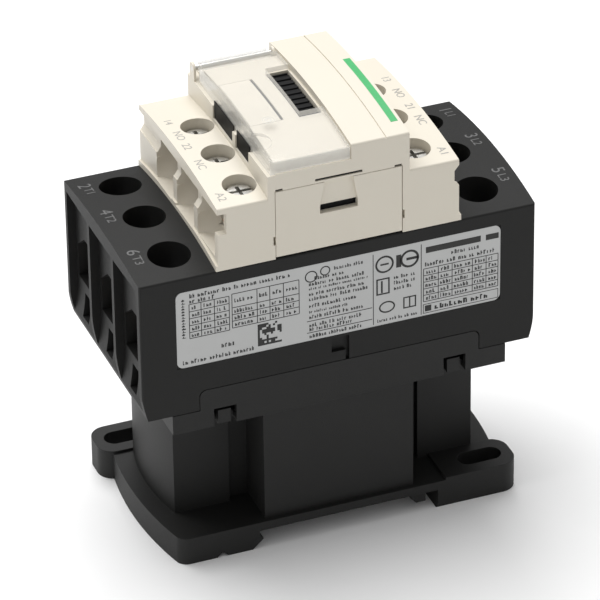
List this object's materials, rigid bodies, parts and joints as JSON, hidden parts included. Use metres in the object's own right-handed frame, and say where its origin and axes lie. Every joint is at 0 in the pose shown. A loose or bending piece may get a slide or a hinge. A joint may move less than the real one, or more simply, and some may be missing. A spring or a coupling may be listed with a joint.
{
  "type": "power contactor",
  "caption": "Three-pole power contactor with screw terminals, a sprung contact carrier, auxiliary contacts, a hinged clear flap and a rail-mounting base.",
  "frame": {"origin": "centre of the mounting face, at the bottom centre of the whole part", "axes": "+Z away from the mounting face towards the front; +X towards the line terminals; +Y across the poles, away from the rating label"},
  "size_m": [0.085, 0.045, 0.092],
  "materials": {
    "black_housing": "fine grained moulded polyamide",
    "black_base": "fine grained moulded polyamide",
    "cream_cover": "smooth moulded polycarbonate",
    "clear_flap": "clear moulded polycarbonate",
    "black_carrier": "moulded thermoset",
    "label": "matt silver foil with printed rules",
    "marker_card": "matt card",
    "screw_steel": "zinc plated",
    "spring_steel": "drawn wire",
    "core_steel": "stacked laminations",
    "copper": "stamped copper",
    "silver_contact": "silver alloy",
    "winding": "enamelled copper wire",
    "bobbin": "moulded nylon",
    "pad_rubber": "moulded"
  },
  "bodies": {
    "contactor_body": {"aux_terminals": "copper", "base_housing": "black_base", "coil_bobbin": "bobbin", "coil_leads": "copper", "coil_winding": "winding", "core_pad": "pad_rubber", "fixed_core": "core_steel", "fixed_tips": "silver_contact", "flap_pin": "screw_steel", "front_cover": "cream_cover", "line_terminals": "copper", "load_terminals": "copper", "marker_plate": "marker_card", "pole_housing": "black_housing", "rail_latch_spring": "spring_steel", "rating_label": "label", "return_springs": "spring_steel", "shading_rings": "copper", "side_panel_left": "cream_cover", "side_panel_right": "cream_cover"},
    "carrier": {"contact_carrier": "black_carrier", "armature": "core_steel", "armature_pin": "screw_steel", "contact_spring_1": "spring_steel", "contact_spring_2": "spring_steel", "contact_spring_3": "spring_steel", "aux_make_spring": "spring_steel", "aux_break_spring": "spring_steel"},
    "bridge_1": {"contact_bridge_1": "copper"},
    "bridge_2": {"contact_bridge_2": "copper"},
    "bridge_3": {"contact_bridge_3": "copper"},
    "make_bridge": {"aux_make_bridge": "copper"},
    "break_bridge": {"aux_break_bridge": "copper"},
    "latch": {"rail_latch": "black_base"},
    "flap": {"front_flap": "clear_flap"},
    "load_clamp_1_body": {"load_clamp_1": "screw_steel"},
    "load_screw_1_body": {"load_screw_1": "screw_steel"},
    "load_clamp_2_body": {"load_clamp_2": "screw_steel"},
    "load_screw_2_body": {"load_screw_2": "screw_steel"},
    "load_clamp_3_body": {"load_clamp_3": "screw_steel"},
    "load_screw_3_body": {"load_screw_3": "screw_steel"},
    "load_small_clamp_1_body": {"load_small_clamp_1": "screw_steel"},
    "load_small_screw_1_body": {"load_small_screw_1": "screw_steel"},
    "load_small_clamp_2_body": {"load_small_clamp_2": "screw_steel"},
    "load_small_screw_2_body": {"load_small_screw_2": "screw_steel"},
    "load_small_clamp_3_body": {"load_small_clamp_3": "screw_steel"},
    "load_small_screw_3_body": {"load_small_screw_3": "screw_steel"},
    "line_clamp_1_body": {"line_clamp_1": "screw_steel"},
    "line_screw_1_body": {"line_screw_1": "screw_steel"},
    "line_clamp_2_body": {"line_clamp_2": "screw_steel"},
    "line_screw_2_body": {"line_screw_2": "screw_steel"},
    "line_clamp_3_body": {"line_clamp_3": "screw_steel"},
    "line_screw_3_body": {"line_screw_3": "screw_steel"},
    "line_small_clamp_1_body": {"line_small_clamp_1": "screw_steel"},
    "line_small_screw_1_body": {"line_small_screw_1": "screw_steel"},
    "line_small_clamp_2_body": {"line_small_clamp_2": "screw_steel"},
    "line_small_screw_2_body": {"line_small_screw_2": "screw_steel"},
    "line_small_clamp_3_body": {"line_small_clamp_3": "screw_steel"},
    "line_small_screw_3_body": {"line_small_screw_3": "screw_steel"}
  },
  "joints": [
    {"name": "carrier_travel", "type": "slide", "parent": "contactor_body", "child": "carrier", "axis": [0, 0, 1], "range_m": [-0.0045, 0], "stiffness_N_per_m": 600, "springref_m": 0.006, "deforming": ["return_springs"]},
    {"name": "bridge_1_give", "type": "slide", "parent": "carrier", "child": "bridge_1", "axis": [0, 0, 1], "range_m": [0, 0.0013], "deforming": ["contact_spring_1"]},
    {"name": "bridge_2_give", "type": "slide", "parent": "carrier", "child": "bridge_2", "axis": [0, 0, 1], "range_m": [0, 0.0013], "deforming": ["contact_spring_2"]},
    {"name": "bridge_3_give", "type": "slide", "parent": "carrier", "child": "bridge_3", "axis": [0, 0, 1], "range_m": [0, 0.0013], "deforming": ["contact_spring_3"]},
    {"name": "make_bridge_give", "type": "slide", "parent": "carrier", "child": "make_bridge", "axis": [0, 0, 1], "range_m": [0, 0.0013], "deforming": ["aux_make_spring"]},
    {"name": "break_bridge_give", "type": "slide", "parent": "carrier", "child": "break_bridge", "axis": [0, 0, 1], "range_m": [0, 0.0013], "deforming": ["aux_break_spring"]},
    {"name": "latch_slide", "type": "slide", "parent": "contactor_body", "child": "latch", "axis": [1, 0, 0], "range_m": [0, 0.0023], "stiffness_N_per_m": 1500, "springref_m": -0.003, "deforming": ["rail_latch_spring"]},
    {"name": "flap_hinge", "type": "hinge", "parent": "contactor_body", "child": "flap", "pos_m": [0, 0.0199, 0.0894], "axis": [-1, 0, 0], "range_deg": [0, 105]},
    {"name": "load_screw_1_lift", "type": "slide", "parent": "contactor_body", "child": "load_clamp_1_body", "axis": [0, 0, 1], "range_m": [0, 0.0042]},
    {"name": "load_screw_1_turn", "type": "hinge", "parent": "load_clamp_1_body", "child": "load_screw_1_body", "pos_m": [-0.0329, 0.0143, 0.05], "axis": [0, 0, 1], "range_deg": [0, 2161]},
    {"name": "load_screw_2_lift", "type": "slide", "parent": "contactor_body", "child": "load_clamp_2_body", "axis": [0, 0, 1], "range_m": [0, 0.0042]},
    {"name": "load_screw_2_turn", "type": "hinge", "parent": "load_clamp_2_body", "child": "load_screw_2_body", "pos_m": [-0.0329, 0, 0.05], "axis": [0, 0, 1], "range_deg": [0, 2161]},
    {"name": "load_screw_3_lift", "type": "slide", "parent": "contactor_body", "child": "load_clamp_3_body", "axis": [0, 0, 1], "range_m": [0, 0.0042]},
    {"name": "load_screw_3_turn", "type": "hinge", "parent": "load_clamp_3_body", "child": "load_screw_3_body", "pos_m": [-0.0329, -0.0143, 0.05], "axis": [0, 0, 1], "range_deg": [0, 2161]},
    {"name": "load_small_screw_1_lift", "type": "slide", "parent": "contactor_body", "child": "load_small_clamp_1_body", "axis": [0, 0, 1], "range_m": [0, 0.0024]},
    {"name": "load_small_screw_1_turn", "type": "hinge", "parent": "load_small_clamp_1_body", "child": "load_small_screw_1_body", "pos_m": [-0.0185, 0.0076, 0.05], "axis": [0, 0, 1], "range_deg": [0, 1441]},
    {"name": "load_small_screw_2_lift", "type": "slide", "parent": "contactor_body", "child": "load_small_clamp_2_body", "axis": [0, 0, 1], "range_m": [0, 0.0024]},
    {"name": "load_small_screw_2_turn", "type": "hinge", "parent": "load_small_clamp_2_body", "child": "load_small_screw_2_body", "pos_m": [-0.0185, -0.0042, 0.05], "axis": [0, 0, 1], "range_deg": [0, 1441]},
    {"name": "load_small_screw_3_lift", "type": "slide", "parent": "contactor_body", "child": "load_small_clamp_3_body", "axis": [0, 0, 1], "range_m": [0, 0.0024]},
    {"name": "load_small_screw_3_turn", "type": "hinge", "parent": "load_small_clamp_3_body", "child": "load_small_screw_3_body", "pos_m": [-0.0185, -0.016, 0.05], "axis": [0, 0, 1], "range_deg": [0, 1441]},
    {"name": "line_screw_1_lift", "type": "slide", "parent": "contactor_body", "child": "line_clamp_1_body", "axis": [0, 0, 1], "range_m": [0, 0.0042]},
    {"name": "line_screw_1_turn", "type": "hinge", "parent": "line_clamp_1_body", "child": "line_screw_1_body", "pos_m": [0.0329, 0.0143, 0.05], "axis": [0, 0, 1], "range_deg": [0, 2161]},
    {"name": "line_screw_2_lift", "type": "slide", "parent": "contactor_body", "child": "line_clamp_2_body", "axis": [0, 0, 1], "range_m": [0, 0.0042]},
    {"name": "line_screw_2_turn", "type": "hinge", "parent": "line_clamp_2_body", "child": "line_screw_2_body", "pos_m": [0.0329, 0, 0.05], "axis": [0, 0, 1], "range_deg": [0, 2161]},
    {"name": "line_screw_3_lift", "type": "slide", "parent": "contactor_body", "child": "line_clamp_3_body", "axis": [0, 0, 1], "range_m": [0, 0.0042]},
    {"name": "line_screw_3_turn", "type": "hinge", "parent": "line_clamp_3_body", "child": "line_screw_3_body", "pos_m": [0.0329, -0.0143, 0.05], "axis": [0, 0, 1], "range_deg": [0, 2161]},
    {"name": "line_small_screw_1_lift", "type": "slide", "parent": "contactor_body", "child": "line_small_clamp_1_body", "axis": [0, 0, 1], "range_m": [0, 0.0024]},
    {"name": "line_small_screw_1_turn", "type": "hinge", "parent": "line_small_clamp_1_body", "child": "line_small_screw_1_body", "pos_m": [0.0185, 0.0076, 0.05], "axis": [0, 0, 1], "range_deg": [0, 1441]},
    {"name": "line_small_screw_2_lift", "type": "slide", "parent": "contactor_body", "child": "line_small_clamp_2_body", "axis": [0, 0, 1], "range_m": [0, 0.0024]},
    {"name": "line_small_screw_2_turn", "type": "hinge", "parent": "line_small_clamp_2_body", "child": "line_small_screw_2_body", "pos_m": [0.0185, -0.0042, 0.05], "axis": [0, 0, 1], "range_deg": [0, 1441]},
    {"name": "line_small_screw_3_lift", "type": "slide", "parent": "contactor_body", "child": "line_small_clamp_3_body", "axis": [0, 0, 1], "range_m": [0, 0.0024]},
    {"name": "line_small_screw_3_turn", "type": "hinge", "parent": "line_small_clamp_3_body", "child": "line_small_screw_3_body", "pos_m": [0.0185, -0.016, 0.05], "axis": [0, 0, 1], "range_deg": [0, 1441]}
  ],
  "couplings": [
    {"joint": "bridge_1_give", "follows": "carrier_travel", "ratio": -0.28889},
    {"joint": "bridge_2_give", "follows": "carrier_travel", "ratio": -0.28889},
    {"joint": "bridge_3_give", "follows": "carrier_travel", "ratio": -0.28889},
    {"joint": "make_bridge_give", "follows": "carrier_travel", "ratio": -0.28889},
    {"joint": "break_bridge_give", "follows": "carrier_travel", "ratio": -0.28889},
    {"joint": "load_screw_1_turn", "follows": "load_screw_1_lift", "rad_per_m": 8976},
    {"joint": "load_screw_2_turn", "follows": "load_screw_2_lift", "rad_per_m": 8976},
    {"joint": "load_screw_3_turn", "follows": "load_screw_3_lift", "rad_per_m": 8976},
    {"joint": "load_small_screw_1_turn", "follows": "load_small_screw_1_lift", "rad_per_m": 10472},
    {"joint": "load_small_screw_2_turn", "follows": "load_small_screw_2_lift", "rad_per_m": 10472},
    {"joint": "load_small_screw_3_turn", "follows": "load_small_screw_3_lift", "rad_per_m": 10472},
    {"joint": "line_screw_1_turn", "follows": "line_screw_1_lift", "rad_per_m": 8976},
    {"joint": "line_screw_2_turn", "follows": "line_screw_2_lift", "rad_per_m": 8976},
    {"joint": "line_screw_3_turn", "follows": "line_screw_3_lift", "rad_per_m": 8976},
    {"joint": "line_small_screw_1_turn", "follows": "line_small_screw_1_lift", "rad_per_m": 10472},
    {"joint": "line_small_screw_2_turn", "follows": "line_small_screw_2_lift", "rad_per_m": 10472},
    {"joint": "line_small_screw_3_turn", "follows": "line_small_screw_3_lift", "rad_per_m": 10472}
  ]
}
